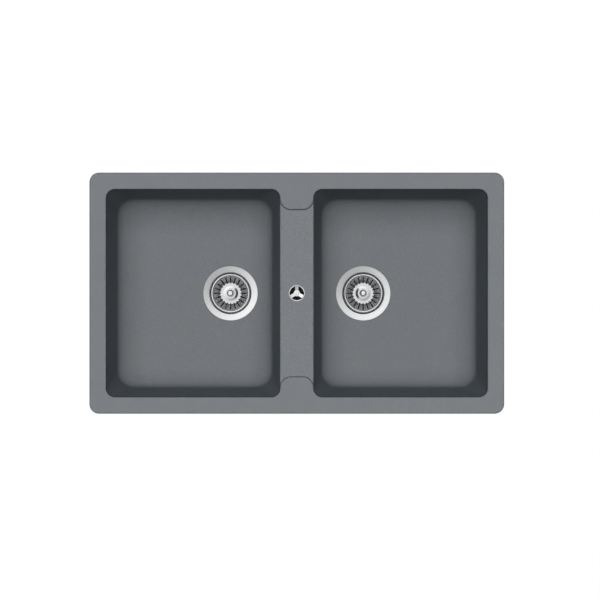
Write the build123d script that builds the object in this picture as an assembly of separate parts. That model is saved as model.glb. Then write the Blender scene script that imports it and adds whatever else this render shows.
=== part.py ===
from build123d import *
import os
from math import cos, radians, sin, sqrt, tan

# Inset double bowl kitchen sink of granite composite, with its two basket wastes, overflow,
# connecting pipework and worktop clamps. Millimetres, +Z up, +X along the long side, +Y to the back.
# The origin is the centre of the worktop cut-out, on the worktop's top surface.

# ---- sink body -------------------------------------------------------------------------------
SINK_LENGTH = 860.0
SINK_WIDTH = 500.0
SINK_CORNER_R = 20.0
RIM_BAND = 34.5            # flat rim between the outer edge and a bowl
RIM_HEIGHT = 8.5           # rim top above the worktop
RIM_EDGE_R = 3.5           # rounding of the outer edge
BRIDGE_WIDTH = 69.0        # between the two bowls
BRIDGE_DROP = 8.0          # lowered deck of the bridge, below the rim top
TONGUE_LENGTH = 42.0       # how far the full-height rim reaches in between the bowls
TONGUE_R = 22.0
BOWL_DEPTH = 195.0         # rim top to bowl floor
DRAFT = 5.5                # wall lean in degrees
BOWL_TOP_R = 18.0          # corner radius in plan at the rim
BOWL_FLOOR_R = 36.0        # corner radius in plan at the floor
BOWL_FILLET_R = 24.0       # wall to floor
BOWL_EDGE_R = 3.0          # rounding of the bowl's top edge
WALL = 8.0
FLOOR_THICKNESS = 9.0
BRIDGE_THICKNESS = 8.0
DRAIN_BOSS_MARGIN = 8.5    # boss past the clamping flange below it
DRAIN_BOSS_HEIGHT = 3.0

# ---- worktop and seating ---------------------------------------------------------------------
CUTOUT_MARGIN = 10.0       # rim overlap past the worktop cut-out
RELIEF_DEPTH = 1.5         # rim underside inside the cut-out, for the clamp brackets
RELIEF_MARGIN = 1.0        # relief stops this far inside the cut-out
SEAL_WIDTH = 4.0
SEAL_DEPTH = 2.0
SEAL_MARGIN = 3.0          # seal's outer edge from the rim's outer edge
RIB_THICKNESS = 5.0
RIB_DEPTH = 32.0
RIB_REACH = 14.0
RIB_FROM_END = 45.5        # outer ribs from the bowl's end line
RIB_FROM_MIDDLE = (120.0, 215.0)
RIB_END_Y = 140.0          # ribs of the two ends, either side of the middle

# ---- basket waste (two alike) ----------------------------------------------------------------
DRAIN_OFFSET = 140.3       # waste axis from the sink's middle
WASTE_HOLE_GAP = 1.0       # between the cup and the hole in the floor
FLANGE_WIDTH = 12.3        # flange past the hole
FLANGE_PROUD = 0.5
FLANGE_SLOPE = 0.25        # rise per unit of radius
FLANGE_GAP = 0.7           # between the flange edge and the recess
SHEET = 1.0                # steel of flange, cup and basket
SEAL_THICKNESS = 1.2
CUP_R = 43.0
CUP_STRAIGHT = 22.0        # below the bowl floor
CUP_SEAT_R = 30.0
CUP_DEPTH = 42.0
CUP_BEND_R = 3.0
GRID_HOLES = 8
GRID_HOLE_R = 4.5
GRID_PITCH_R = 19.0

BASKET_GAP = 1.2           # between the basket's rim and the cup
BASKET_ROLL_R = 2.75
BASKET_TOP = 3.2           # rim top below the bowl floor
BASKET_FLOOR_R = 23.0
BASKET_DEPTH = 27.0
BASKET_BEND_R = 3.0
SLOT_COUNT = 20
SLOT_WIDTH = 2.5
SLOT_INNER_R = 20.6
SLOT_OUTER_R = 34.8
DOME_R = 16.0
DOME_SLOPE = 5.0
DOME_HEIGHT = 1.6
KNOB_R = 7.6
KNOB_HEIGHT = 11.0
KNOB_ROUND_R = 5.2
KNOB_TOP = 4.0             # knob top below the bowl floor
KNOB_NECK_R = 3.6
KNOB_FOOT_R = 6.4
KNOB_FOOT_HEIGHT = 1.4
STEM_R = 2.5
PLUG_HEIGHT = 5.0
PLUG_GAP = 1.2             # basket floor to plug
PLUG_CHAMFER = 2.0
NUT_HEIGHT = 3.0
NUT_FLATS = 8.0
CENTRE_HEAD_R = 6.5
CENTRE_HEAD_HEIGHT = 3.0
CENTRE_SCREW_R = 3.0
CENTRE_SCREW_LENGTH = 18.0

GASKET_THICKNESS = 2.0
GASKET_MARGIN = 1.0        # gasket's inner edge outside the hole
GASKET_SETBACK = 1.5       # gasket's outer edge inside the clamping flange
BODY_FLANGE_WIDTH = 7.0
BODY_FLANGE_THICKNESS = 3.5
BODY_GAP = 2.5             # between the cup and the plastic body
BODY_WALL = 3.0
BODY_STRAIGHT = 48.0       # below the bowl floor
BODY_CONE = 10.0
OUTLET_R = 23.9            # 1 1/2 inch pipe thread
OUTLET_BORE_R = 20.0
OUTLET_LENGTH = 22.0
BODY_BOSS_R = 7.0
BODY_BOSS_LENGTH = 16.0
BODY_ARMS = 3
BODY_ARM_THICKNESS = 3.0
BODY_ARM_HEIGHT = 7.0
SPIGOT_R = 10.0
SPIGOT_BORE_R = 7.5
SPIGOT_LENGTH = 22.0
SPIGOT_DROP = 31.0         # spigot axis below the bowl floor
CAP_WALL = 2.4
CAP_DEPTH = 13.0

# ---- pipework --------------------------------------------------------------------------------
PIPE_R = 20.0
PIPE_WALL = 1.8
PIPE_BEND_R = 27.0
COLLAR_R = 23.4
COLLAR_HEIGHT = 3.0
WASHER_THICKNESS = 2.5
NUT_R = 29.5
NUT_LIP = 3.0
NUT_GRIP = 14.0            # length of thread inside a nut
NUT_LUGS = 12
NUT_LUG_R = 1.8
PIPE_STRAIGHT = 6.0        # from the nut down to the bend
TEE_MIDDLE_HALF = 26.0     # thicker middle of the tee
TEE_NUT_GAP = 2.0          # between the middle and a nut
TEE_MIDDLE_R = 26.5
TEE_SOCKET = 22.0
TEE_OUTLET_LENGTH = 30.0
TEE_WALL = 3.6
TEE_SHOULDER = 2.0         # ring above the threaded outlet
TEE_SHOULDER_HEIGHT = 5.0

# ---- overflow --------------------------------------------------------------------------------
OVERFLOW_HOLE_R = 15.0
ROSETTE_R = 17.5
ROSETTE_RING = 3.2
ROSETTE_HEIGHT = 1.8
ROSETTE_SPOKES = 3
ROSETTE_SPOKE_WIDTH = 6.6
ROSETTE_HUB_R = 6.4
ROSETTE_HUB_DROP = 2.5
ROSETTE_SHEET = 1.4
OVERFLOW_SCREW_HEAD_R = 4.4
OVERFLOW_SCREW_HEAD_HEIGHT = 1.6
OVERFLOW_SCREW_R = 2.4
OVERFLOW_SCREW_LENGTH = 18.0
OVERFLOW_GASKET_R = 22.0
CHAMBER_FLANGE_THICKNESS = 2.5
CHAMBER_R = 18.5
CHAMBER_WALL = 2.2
CHAMBER_DEPTH = 26.0
CHAMBER_CONE = 7.0
CHAMBER_BOSS_R = 5.0
CHAMBER_BOSS_HEIGHT = 9.0
CHAMBER_BOSS_DROP = 4.0
HOSE_WALL = 2.4
HOSE_BEND_R = 46.0
HOSE_OVERLAP = 17.0        # hose pushed over each spigot
CLIP_WIDTH = 8.0
CLIP_THICKNESS = 1.4
CLIP_HOUSING = (9.0, 7.0, 6.0)
CLIP_INSET = 4.0

# ---- worktop clamps (eight alike) ------------------------------------------------------------
CLAMP_FROM_END = 120.0     # outer clamps from the cut-out's end
CLAMP_SHEET = 2.0
BRACKET_WIDTH = 30.0
BRACKET_DEPTH = 13.5
BRACKET_MARGIN = 1.5       # bracket stands this far inside the cut-out
BRACKET_BEND_R = 2.4
CLAMP_SCREW_R = 3.0
CLAMP_SCREW_INSET = 7.5    # screw axis inside the cut-out
CLAMP_HEAD_FLATS = 10.0
CLAMP_HEAD_HEIGHT = 4.0
CLAMP_WASHER_R = 6.4
CLAMP_WASHER_HEIGHT = 1.6
CLAMP_TIP_R = 2.4          # turned-down tip that the claw swivels on
CLAMP_TIP_LENGTH = 4.0
CLAMP_REST_GAP = 1.5       # left free at both ends of the claw's travel
HEAD_SLOT = (1.4, 2.0)
FIXING_OFFSET = 10.0       # bracket screws either side of the clamp screw
FIXING_R = 2.0
FIXING_HEAD_R = 3.6
FIXING_HEAD_HEIGHT = 2.2
FIXING_DEPTH = 5.0         # screwed into the rim
WORKTOP_MAX = 40.0         # thickest worktop that the clamps take
CLAW_GAP = 2.0             # open claw below the thickest worktop
CLAW_TRAVEL = 20.0
CLAW_WIDTH = 22.0
CLAW_GRIP = 8.0            # claw past the cut-out edge
CLAW_LIP = 3.5
CLAW_LIP_HEIGHT = 4.0
CLAW_PLATE = 3.0
CLAW_BOSS_R = 5.1
CLAW_BOSS_HEIGHT = 5.0
CLAW_TEETH = 5

SLIDE_GAP = 0.4            # sliding pieces
TURN_GAP = 0.2             # turning pieces
FIT_GAP = 0.1              # pushed together by hand
OVERLAP = 1.0              # tools reach this far past the face that they cut

# ---- levels worked out from the sizes above --------------------------------------------------
RIM_TOP = RIM_HEIGHT
DECK = RIM_TOP - BRIDGE_DROP
FLOOR = RIM_TOP - BOWL_DEPTH
UNDERSIDE = FLOOR - FLOOR_THICKNESS
BOSS_UNDERSIDE = UNDERSIDE - DRAIN_BOSS_HEIGHT
DECK_UNDERSIDE = DECK - BRIDGE_THICKNESS
BOWL_INNER_X = BRIDGE_WIDTH / 2
BOWL_OUTER_X = SINK_LENGTH / 2 - RIM_BAND
BOWL_CENTRE_X = (BOWL_INNER_X + BOWL_OUTER_X) / 2
BOWL_Y = SINK_WIDTH / 2 - RIM_BAND
CUTOUT_X = SINK_LENGTH / 2 - CUTOUT_MARGIN
CUTOUT_Y = SINK_WIDTH / 2 - CUTOUT_MARGIN
RIB_X = (*RIB_FROM_MIDDLE, BOWL_OUTER_X - RIB_FROM_END)
CLAMP_X = CUTOUT_X - CLAMP_FROM_END
CUP_OUTER_R = CUP_R + SHEET
WASTE_HOLE_R = CUP_OUTER_R + WASTE_HOLE_GAP
FLANGE_R = WASTE_HOLE_R + FLANGE_WIDTH
BASKET_R = CUP_R - BASKET_GAP
BODY_R = CUP_OUTER_R + BODY_GAP + BODY_WALL
BODY_FLANGE_R = BODY_R + BODY_FLANGE_WIDTH
GASKET_INNER_R = WASTE_HOLE_R + GASKET_MARGIN
GASKET_OUTER_R = BODY_FLANGE_R - GASKET_SETBACK
DRAIN_BOSS_R = BODY_FLANGE_R + DRAIN_BOSS_MARGIN
GASKET_TOP = BOSS_UNDERSIDE
BODY_TOP = GASKET_TOP - GASKET_THICKNESS
OUTLET_END = FLOOR - BODY_STRAIGHT - BODY_CONE - OUTLET_LENGTH
PIPE_TOP = OUTLET_END - WASHER_THICKNESS
NUT_BOTTOM = PIPE_TOP - COLLAR_HEIGHT - NUT_LIP
PIPE_AXIS_Z = NUT_BOTTOM - PIPE_STRAIGHT - PIPE_BEND_R
SPIGOT_Z = FLOOR - SPIGOT_DROP
SPIGOT_END = BODY_R + SPIGOT_LENGTH
CHAMBER_TOP = DECK_UNDERSIDE - GASKET_THICKNESS
CHAMBER_SPIGOT_TOP = CHAMBER_TOP - CHAMBER_DEPTH - CHAMBER_CONE
CHAMBER_SPIGOT_END = CHAMBER_SPIGOT_TOP - SPIGOT_LENGTH
TEE_HALF = TEE_MIDDLE_HALF + TEE_NUT_GAP + NUT_GRIP
TEE_OUTLET_TOP = PIPE_AXIS_Z - TEE_MIDDLE_R - TEE_SHOULDER_HEIGHT
TEE_OUTLET_END = TEE_OUTLET_TOP - TEE_OUTLET_LENGTH
BRACKET_TOP = RELIEF_DEPTH
CLAW_TOP = -WORKTOP_MAX - CLAW_GAP
CLAW_PLATE_TOP = CLAW_TOP - CLAW_LIP_HEIGHT
CLAW_BOSS_BOTTOM = CLAW_PLATE_TOP - CLAW_PLATE - CLAW_BOSS_HEIGHT
BRACKET_BOTTOM = CLAW_BOSS_BOTTOM - CLAMP_REST_GAP - CLAMP_SHEET
CLAMP_HEAD_TOP = BRACKET_BOTTOM - CLAW_TRAVEL - CLAMP_REST_GAP


# ---- helpers ---------------------------------------------------------------------------------
def tube(outer_r, inner_r, bottom, top):
    """A plain ring or sleeve about Z."""
    height = top - bottom
    ring = Circle(outer_r) - Circle(inner_r)
    return Pos(0, 0, bottom) * extrude(ring, height)


def disc(radius, bottom, top):
    return Pos(0, 0, bottom) * extrude(Circle(radius), top - bottom)


def lathe(points):
    """Turn a closed outline of (radius, height) points about Z."""
    outline = Polyline(*[(r, 0, z) for r, z in points], close=True)
    return revolve(make_face(outline), Axis.Z)


def sheet_lathe(points, radii, thickness):
    """Turn a bent sheet about Z. The path runs outwards on its visible side, above the sheet."""
    path = FilletPolyline(*points, radius=radii)
    section = make_face(offset(path, amount=thickness, side=Side.RIGHT).edges())
    return revolve(Plane.XZ * section, Axis.Z)


def hexagon(flats, bottom, top):
    prism = RegularPolygon(flats / 2, 6, major_radius=False)
    return Pos(0, 0, bottom) * extrude(prism, top - bottom)


def bent_tube(points, bend_r, outer_r, inner_r):
    """A round tube along straight runs joined by one bend."""
    path = FilletPolyline(*points, radius=bend_r)
    start = Plane(origin=path @ 0, z_dir=path % 0)
    ring = start * (Circle(outer_r) - Circle(inner_r))
    return sweep(ring, path)


def spread(count):
    return [Rot(0, 0, 360 / count * turn) for turn in range(count)]


def join(solids):
    return Compound(children=[solid for shape in solids for solid in shape.solids()])


# ---- sink body -------------------------------------------------------------------------------
def inset(z):
    """How far a bowl wall has leaned in at height z."""
    return (RIM_TOP - z) * tan(radians(DRAFT))


def corner_radius(z):
    return BOWL_TOP_R + (BOWL_FLOOR_R - BOWL_TOP_R) * (RIM_TOP - z) / BOWL_DEPTH


def well_outline(z):
    """Both bowls and the lowered bridge between them as one outline, at height z."""
    lean = inset(z)
    inner_x, outer_x, bowl_y = BOWL_INNER_X + lean, BOWL_OUTER_X - lean, BOWL_Y - lean
    tongue_y = BOWL_Y - TONGUE_LENGTH - lean
    corner, tongue = corner_radius(z), TONGUE_R + lean
    back = [
        (-outer_x, bowl_y),
        (-inner_x, bowl_y),
        (-inner_x, tongue_y),
        (inner_x, tongue_y),
        (inner_x, bowl_y),
        (outer_x, bowl_y),
    ]
    front = [(x, -y) for x, y in reversed(back)]
    radii = [corner, corner, tongue, tongue, corner, corner]
    outline = FilletPolyline(*back, *front, radius=radii + radii, close=True)
    return Pos(0, 0, z) * make_face(outline.edges())


def bowl_outline(z, side, wall=0.0):
    lean = inset(z) - wall
    length = BOWL_OUTER_X - BOWL_INNER_X - 2 * lean
    width = 2 * (BOWL_Y - lean)
    outline = RectangleRounded(length, width, corner_radius(z) + wall)
    return Pos(side * BOWL_CENTRE_X, 0, z) * outline


def edges_at(shape, z):
    return [
        edge for edge in shape.edges()
        if abs(edge.bounding_box().min.Z - z) < FIT_GAP and abs(edge.bounding_box().max.Z - z) < FIT_GAP
    ]


def bowl_block(side, top, bottom, wall):
    """A drafted block with rounded lower edges: the bowl's space, or its outside."""
    block = loft([bowl_outline(top, side, wall), bowl_outline(bottom, side, wall)], ruled=True)
    return fillet(edges_at(block, bottom), BOWL_FILLET_R + wall)


def rim_slab():
    slab = extrude(RectangleRounded(SINK_LENGTH, SINK_WIDTH, SINK_CORNER_R), RIM_HEIGHT)
    slab = fillet(edges_at(slab, RIM_TOP), RIM_EDGE_R)
    relief_r = SINK_CORNER_R - CUTOUT_MARGIN
    relief = RectangleRounded(2 * (CUTOUT_X - RELIEF_MARGIN), 2 * (CUTOUT_Y - RELIEF_MARGIN), relief_r)
    return slab - extrude(relief, RELIEF_DEPTH) - seal_ring()


def seal_ring():
    """The foam seal, and the groove that holds it with its face flush."""
    outer_r = SINK_CORNER_R - SEAL_MARGIN
    length, width = SINK_LENGTH - 2 * SEAL_MARGIN, SINK_WIDTH - 2 * SEAL_MARGIN
    outer = RectangleRounded(length, width, outer_r)
    inner = RectangleRounded(length - 2 * SEAL_WIDTH, width - 2 * SEAL_WIDTH, outer_r - SEAL_WIDTH)
    return extrude(outer - inner, SEAL_DEPTH)


def rim_rib():
    """A rib under the rim, against the bowl wall; +Y points out and y = 0 is the bowl's edge line."""
    foot = WALL / 2
    profile = Polyline(
        (foot, RELIEF_DEPTH + OVERLAP),
        (foot + RIB_REACH, RELIEF_DEPTH + OVERLAP),
        (foot + RIB_REACH, RELIEF_DEPTH - CLAMP_SHEET),
        (WALL, -RIB_DEPTH),
        (foot - inset(-RIB_DEPTH), -RIB_DEPTH),
        close=True,
    )
    return extrude(Plane.YZ * make_face(profile), RIB_THICKNESS / 2, both=True)


def rim_ribs():
    rib = rim_rib()
    ribs = []
    for side in (-1, 1):
        for turn in (0, 180):
            ribs += [Rot(0, 0, turn) * Pos(side * x, BOWL_Y, 0) * rib for x in RIB_X]
            ribs.append(Rot(0, 0, turn + 90) * Pos(side * RIB_END_Y, BOWL_OUTER_X, 0) * rib)
    return ribs


def bridge_edge_tool():
    """What the rounding takes off the two edges between the lowered bridge and the bowls."""
    lean = radians(DRAFT)
    edge_x = BOWL_INNER_X + inset(DECK)
    reach = BOWL_EDGE_R / tan(radians(90 + DRAFT) / 2)
    on_deck = (edge_x - reach, DECK)
    on_wall = (edge_x + reach * sin(lean), DECK - reach * cos(lean))
    middle = radians(90 - DRAFT) / 2 + lean
    on_arc = (on_deck[0] + BOWL_EDGE_R * sin(middle), on_deck[1] - BOWL_EDGE_R * (1 - cos(middle)))
    outside = (on_wall[0] + OVERLAP, on_wall[1])
    above = (on_wall[0] + OVERLAP, DECK + OVERLAP)
    over_deck = (on_deck[0], DECK + OVERLAP)
    outline = (
        ThreePointArc(on_deck, on_arc, on_wall)
        + Polyline(on_wall, outside, above, over_deck, on_deck)
    )
    length = BOWL_Y - TONGUE_LENGTH + TONGUE_R - OVERLAP
    tool = extrude(Plane.XZ * make_face(outline.edges()), length, both=True)
    space = loft([well_outline(DECK + 2 * OVERLAP), well_outline(DECK - 2 * BOWL_EDGE_R)], ruled=True)
    tool = tool & space
    return [tool, mirror(tool, Plane.YZ)]


def drain_space():
    """The conical recess for the waste flange and the hole through the floor."""
    edge_r = FLANGE_R + FLANGE_GAP
    return lathe([
        (0, FLOOR + OVERLAP),
        (edge_r, FLOOR + OVERLAP),
        (edge_r, recess_z(edge_r)),
        (WASTE_HOLE_R, recess_z(WASTE_HOLE_R)),
        (WASTE_HOLE_R, BOSS_UNDERSIDE - OVERLAP),
        (0, BOSS_UNDERSIDE - OVERLAP),
    ])


def fixing_holes():
    """Pilot holes for the bracket screws."""
    hole_top = RELIEF_DEPTH + FIXING_DEPTH + OVERLAP / 2
    hole = disc(FIXING_R + FIT_GAP / 2, RELIEF_DEPTH - OVERLAP, hole_top)
    pair = [Pos(x, -CLAMP_SCREW_INSET, 0) * hole for x in (-FIXING_OFFSET, FIXING_OFFSET)]
    return [place * hole for place in clamp_places() for hole in pair]


def sink_body():
    deck_length = 2 * (BOWL_INNER_X + inset(DECK))
    deck_width = 2 * (BOWL_Y + WALL)
    lap = RIM_HEIGHT / 2
    body = rim_slab()
    for side in (-1, 1):
        body += bowl_block(side, lap, UNDERSIDE, WALL)
        body += Pos(side * DRAIN_OFFSET, 0, 0) * disc(DRAIN_BOSS_R, BOSS_UNDERSIDE, UNDERSIDE + OVERLAP)
    bridge = extrude(Rectangle(deck_length, deck_width), lap - DECK_UNDERSIDE)
    body += Pos(0, 0, DECK_UNDERSIDE) * bridge
    body += rim_ribs()
    body -= loft([well_outline(RIM_TOP), well_outline(DECK)], ruled=True)
    for side in (-1, 1):
        body -= bowl_block(side, DECK, FLOOR, 0.0)
    body = fillet([edge for edge in edges_at(body, RIM_TOP) if is_well_edge(edge)], BOWL_EDGE_R)
    body -= bridge_edge_tool()
    body -= [Pos(side * DRAIN_OFFSET, 0, 0) * drain_space() for side in (-1, 1)]
    body -= disc(OVERFLOW_HOLE_R, DECK_UNDERSIDE - OVERLAP, DECK + OVERLAP)
    body -= fixing_holes()
    return body


def is_well_edge(edge):
    box = edge.bounding_box()
    reach_x = max(abs(box.min.X), abs(box.max.X))
    reach_y = max(abs(box.min.Y), abs(box.max.Y))
    return reach_x < BOWL_OUTER_X + OVERLAP and reach_y < BOWL_Y + OVERLAP


# ---- basket waste, about its own axis --------------------------------------------------------
def flange_z(radius):
    """Visible side of the dished flange."""
    return FLOOR + FLANGE_PROUD - FLANGE_SLOPE * (FLANGE_R - radius)


def flange_back_z(radius):
    return flange_z(radius) - SHEET * sqrt(1 + FLANGE_SLOPE ** 2)


def recess_z(radius):
    return flange_back_z(radius) - SEAL_THICKNESS


def waste_flange():
    """Dished flange, cup with a sealing seat and a bottom grid, in one pressed sheet."""
    path = [
        (CENTRE_SCREW_R + FIT_GAP, FLOOR - CUP_DEPTH),
        (CUP_SEAT_R, FLOOR - CUP_DEPTH),
        (CUP_SEAT_R, FLOOR - CUP_STRAIGHT - CUP_R + CUP_SEAT_R),
        (CUP_R, FLOOR - CUP_STRAIGHT),
        (CUP_R, flange_z(CUP_R)),
        (FLANGE_R, flange_z(FLANGE_R)),
    ]
    bends = [CUP_BEND_R, SHEET, CUP_BEND_R, CUP_BEND_R]
    cup = sheet_lathe(path, bends, SHEET)
    bottom = FLOOR - CUP_DEPTH
    hole = Pos(GRID_PITCH_R, 0, 0) * disc(GRID_HOLE_R, bottom - 2 * SHEET, bottom + SHEET)
    return cup - [turn * hole for turn in spread(GRID_HOLES)]


def flange_seal():
    inner_r, outer_r = WASTE_HOLE_R + OVERLAP, FLANGE_R - OVERLAP
    return lathe([
        (inner_r, flange_back_z(inner_r)),
        (outer_r, flange_back_z(outer_r)),
        (outer_r, recess_z(outer_r)),
        (inner_r, recess_z(inner_r)),
    ])


def lower_gasket():
    return tube(GASKET_OUTER_R, GASKET_INNER_R, BODY_TOP, GASKET_TOP)


def centre_screw():
    """Holds the cup down to the plastic body; slotted pan head inside the cup."""
    seat = FLOOR - CUP_DEPTH
    head = disc(CENTRE_HEAD_R, seat, seat + CENTRE_HEAD_HEIGHT)
    head = fillet(edges_at(head, seat + CENTRE_HEAD_HEIGHT), SHEET)
    width, depth = HEAD_SLOT
    slot = Pos(0, 0, seat + CENTRE_HEAD_HEIGHT) * Box(2 * CENTRE_HEAD_R + OVERLAP, width, depth)
    return head - slot + disc(CENTRE_SCREW_R, seat - CENTRE_SCREW_LENGTH, seat)


def waste_body():
    """Plastic body under the floor: clamping flange, cone, outlet, screw boss and spigot."""
    inner_r = BODY_R - BODY_WALL
    cone_top = FLOOR - BODY_STRAIGHT
    cone_end = cone_top - BODY_CONE
    shell = lathe([
        (inner_r, BODY_TOP),
        (BODY_FLANGE_R, BODY_TOP),
        (BODY_FLANGE_R, BODY_TOP - BODY_FLANGE_THICKNESS),
        (BODY_R, BODY_TOP - BODY_FLANGE_THICKNESS),
        (BODY_R, cone_top),
        (OUTLET_R, cone_end),
        (OUTLET_R, OUTLET_END),
        (OUTLET_BORE_R, OUTLET_END),
        (OUTLET_BORE_R, cone_end + BODY_WALL),
        (inner_r, cone_top + BODY_WALL),
    ])
    boss_top = FLOOR - CUP_DEPTH - SHEET
    boss = disc(BODY_BOSS_R, boss_top - BODY_BOSS_LENGTH, boss_top)
    arm_top = boss_top - SHEET
    arm_length = inner_r + BODY_WALL / 2
    arm = Box(arm_length, BODY_ARM_THICKNESS, BODY_ARM_HEIGHT)
    arm = Pos(arm_length / 2, 0, arm_top - BODY_ARM_HEIGHT / 2) * arm
    body = shell + boss + [Rot(0, 0, 180) * turn * arm for turn in spread(BODY_ARMS)]
    body += spigot(SPIGOT_R, inner_r + BODY_WALL / 2, SPIGOT_END)
    body -= spigot(SPIGOT_BORE_R, inner_r - BODY_WALL, SPIGOT_END + OVERLAP)
    bore_bottom = boss_top - BODY_BOSS_LENGTH - OVERLAP
    return body - disc(CENTRE_SCREW_R + FIT_GAP / 2, bore_bottom, boss_top + OVERLAP)


def spigot(radius, start, end):
    """A rod along +X at the overflow spigot's height."""
    rod = extrude(Plane.YZ * Circle(radius), end - start)
    return Pos(start, 0, SPIGOT_Z) * rod


def spigot_cap():
    end = SPIGOT_END + FIT_GAP
    cap = spigot(SPIGOT_R + FIT_GAP + CAP_WALL, end - CAP_DEPTH, end + CAP_WALL)
    return cap - spigot(SPIGOT_R + FIT_GAP, end - CAP_DEPTH - OVERLAP, end)


def basket():
    """Removable basket: rolled rim, slotted cone and a domed middle."""
    floor_z = FLOOR - BASKET_DEPTH
    rim_z = FLOOR - BASKET_TOP - BASKET_ROLL_R
    roll_r = BASKET_R - BASKET_ROLL_R
    wall_r = BASKET_R - 2 * BASKET_ROLL_R
    dome_step = DOME_R - DOME_SLOPE
    path = [
        (STEM_R + FIT_GAP, floor_z + DOME_HEIGHT),
        (dome_step, floor_z + DOME_HEIGHT),
        (DOME_R, floor_z),
        (BASKET_FLOOR_R, floor_z),
        (wall_r, rim_z),
    ]
    bends = [DOME_HEIGHT, DOME_HEIGHT, BASKET_BEND_R]
    shell = sheet_lathe(path, bends, SHEET)
    section = Pos(roll_r, rim_z) * (Circle(BASKET_ROLL_R) - Circle(BASKET_ROLL_R - SHEET))
    rolled = revolve(Plane.XZ * section, Axis.Z)
    slot_length = SLOT_OUTER_R - SLOT_INNER_R
    slot = SlotOverall(slot_length, SLOT_WIDTH)
    cutter = Pos(SLOT_INNER_R + slot_length / 2, 0, floor_z - 2 * SHEET) * extrude(slot, BASKET_DEPTH)
    cutter &= disc(BASKET_R, floor_z - 2 * SHEET, rim_z - BASKET_ROLL_R)
    return shell + rolled - [turn * cutter for turn in spread(SLOT_COUNT)]


def basket_knob():
    """Rounded knob with a foot on the basket's dome and a threaded stem through basket and plug."""
    foot_z = FLOOR - BASKET_DEPTH + DOME_HEIGHT
    knob_z = FLOOR - KNOB_TOP
    knob = disc(KNOB_R, knob_z - KNOB_HEIGHT, knob_z)
    knob = fillet(knob.edges().filter_by(GeomType.CIRCLE), KNOB_ROUND_R)
    neck = disc(KNOB_NECK_R, foot_z, knob_z - KNOB_HEIGHT / 2)
    foot = disc(KNOB_FOOT_R, foot_z, foot_z + KNOB_FOOT_HEIGHT)
    foot = fillet(edges_at(foot, foot_z + KNOB_FOOT_HEIGHT), KNOB_FOOT_HEIGHT / 2)
    stem = disc(STEM_R, plug_bottom() - NUT_HEIGHT, foot_z)
    return knob + neck + foot + stem


def plug_bottom():
    return FLOOR - BASKET_DEPTH - SHEET - PLUG_GAP - PLUG_HEIGHT


def seat_radius(z):
    """The cup's 45 degree sealing seat at height z."""
    return CUP_R - (FLOOR - CUP_STRAIGHT - z)


def basket_plug():
    """Rubber plug that seals on the cup's seat, with a boss up to the basket floor."""
    bottom = plug_bottom()
    rim_r = seat_radius(bottom) - SLIDE_GAP * sqrt(2)
    hole_r = STEM_R + FIT_GAP
    boss_r = 2 * KNOB_FOOT_R
    return lathe([
        (hole_r, bottom),
        (rim_r, bottom),
        (rim_r + PLUG_CHAMFER, bottom + PLUG_CHAMFER),
        (rim_r + PLUG_CHAMFER, bottom + PLUG_HEIGHT - PLUG_CHAMFER / 2),
        (rim_r, bottom + PLUG_HEIGHT),
        (boss_r, bottom + PLUG_HEIGHT),
        (boss_r, bottom + PLUG_HEIGHT + PLUG_GAP),
        (hole_r, bottom + PLUG_HEIGHT + PLUG_GAP),
    ])


def basket_nut():
    top = plug_bottom()
    bottom = top - NUT_HEIGHT
    return hexagon(NUT_FLATS, bottom, top) - disc(STEM_R + FIT_GAP / 2, bottom - OVERLAP, top + OVERLAP)


# ---- pipework --------------------------------------------------------------------------------
def ribbed_nut(bore_r, lip_r, lip_end, open_end):
    """A hand-tight pipe nut about Z, with a lip at its lower end and gripping ribs outside."""
    nut = disc(NUT_R - NUT_LUG_R, lip_end, open_end)
    lug = Pos(NUT_R - NUT_LUG_R, 0, 0) * disc(NUT_LUG_R, lip_end + OVERLAP, open_end - OVERLAP)
    nut += [turn * lug for turn in spread(NUT_LUGS)]
    nut -= disc(bore_r, lip_end + NUT_LIP, open_end + OVERLAP)
    return nut - disc(lip_r, lip_end - OVERLAP, open_end)


def union_nut():
    return ribbed_nut(OUTLET_R + FIT_GAP, PIPE_R + FIT_GAP, NUT_BOTTOM, OUTLET_END + NUT_GRIP)


def outlet_washer():
    return tube(COLLAR_R, PIPE_R - PIPE_WALL, PIPE_TOP, OUTLET_END)


def elbow():
    """Bend from a waste outlet to the middle, with its own collar; runs along +X from the waste axis."""
    run_end = DRAIN_OFFSET - TEE_SOCKET
    points = [(0, 0, PIPE_TOP), (0, 0, PIPE_AXIS_Z), (run_end, 0, PIPE_AXIS_Z)]
    pipe = bent_tube(points, PIPE_BEND_R, PIPE_R, PIPE_R - PIPE_WALL)
    return pipe + tube(COLLAR_R, PIPE_R - PIPE_WALL / 2, PIPE_TOP - COLLAR_HEIGHT, PIPE_TOP)


def along_x(shape):
    """Turn a piece about Z onto +X at the pipe axis."""
    return Pos(0, 0, PIPE_AXIS_Z) * Rot(0, 90, 0) * shape


def tee():
    """Collecting tee with a threaded outlet down to the trap."""
    socket_r = PIPE_R + FIT_GAP
    stop = PIPE_R - PIPE_WALL
    run = disc(OUTLET_R, -TEE_HALF, TEE_HALF) + disc(TEE_MIDDLE_R, -TEE_MIDDLE_HALF, TEE_MIDDLE_HALF)
    bore = disc(stop, -TEE_HALF - OVERLAP, TEE_HALF + OVERLAP)
    sockets = [
        disc(socket_r, TEE_SOCKET, TEE_HALF + OVERLAP),
        disc(socket_r, -TEE_HALF - OVERLAP, -TEE_SOCKET),
    ]
    body = along_x(run) + disc(OUTLET_R, TEE_OUTLET_END, PIPE_AXIS_Z)
    body += disc(OUTLET_R + TEE_SHOULDER, TEE_OUTLET_TOP, PIPE_AXIS_Z)
    body -= along_x(bore)
    body -= [along_x(socket) for socket in sockets]
    return body - disc(OUTLET_R - TEE_WALL, TEE_OUTLET_END - OVERLAP, PIPE_AXIS_Z)


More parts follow.
